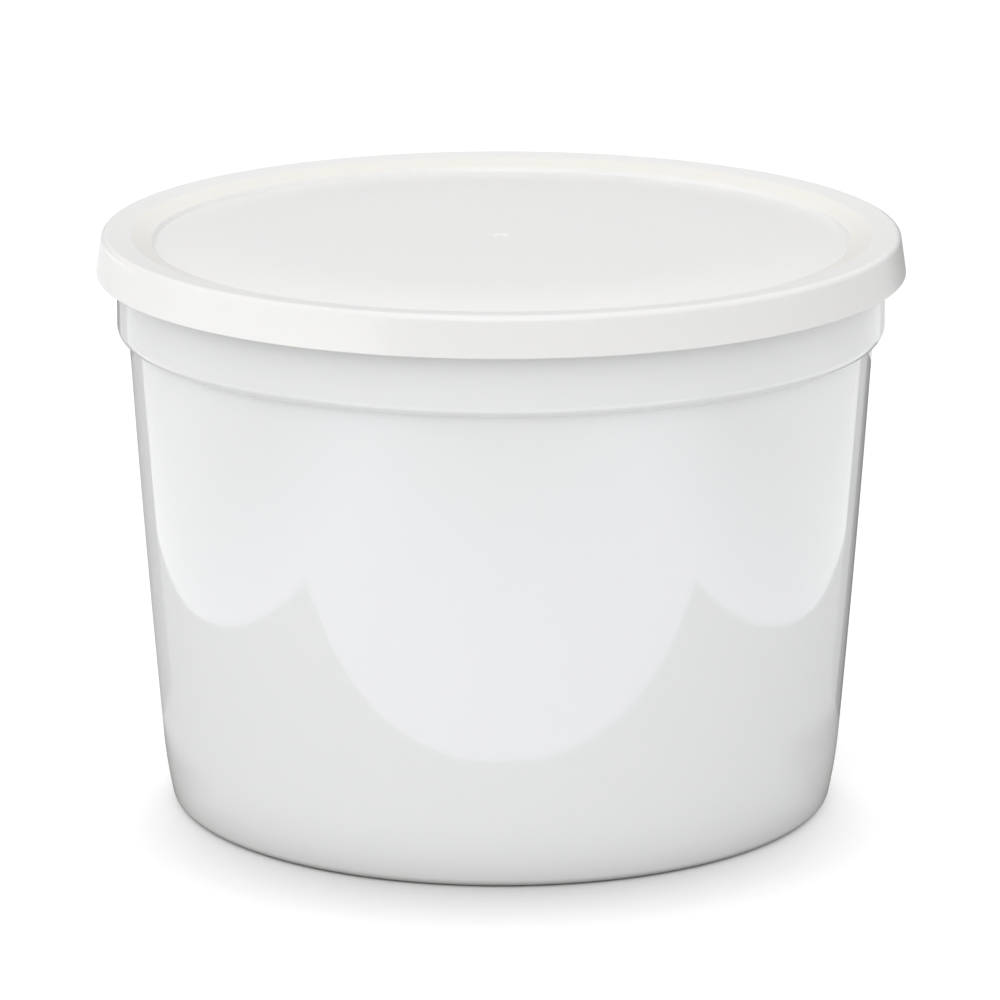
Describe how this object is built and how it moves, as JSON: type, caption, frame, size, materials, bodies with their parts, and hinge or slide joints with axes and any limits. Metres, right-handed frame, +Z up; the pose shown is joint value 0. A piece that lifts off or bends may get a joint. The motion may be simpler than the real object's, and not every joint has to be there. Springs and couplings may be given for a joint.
{
  "type": "yogurt culture tub",
  "caption": "Round white plastic culture tub with tapered side, stepped collar and a press-on lid with a recessed panel.",
  "frame": {"origin": "centre of the foot ring, on the table plane", "axes": "+Z up along the tub's own axis, the way the lid lifts off; the front is -Y, though the shape is the same all round"},
  "size_m": [0.1698, 0.1698, 0.1224],
  "materials": {
    "tub_plastic": "glossy white polypropylene, cool neutral white",
    "lid_plastic": "waxy satin polyethylene, warm white"
  },
  "bodies": {
    "tub": {"tub": "tub_plastic"},
    "lid": {"lid": "lid_plastic"}
  },
  "joints": [
    {"name": "lid_lift", "type": "slide", "parent": "tub", "child": "lid", "axis": [0, 0, 1], "range_m": [0, 0.14]}
  ]
}
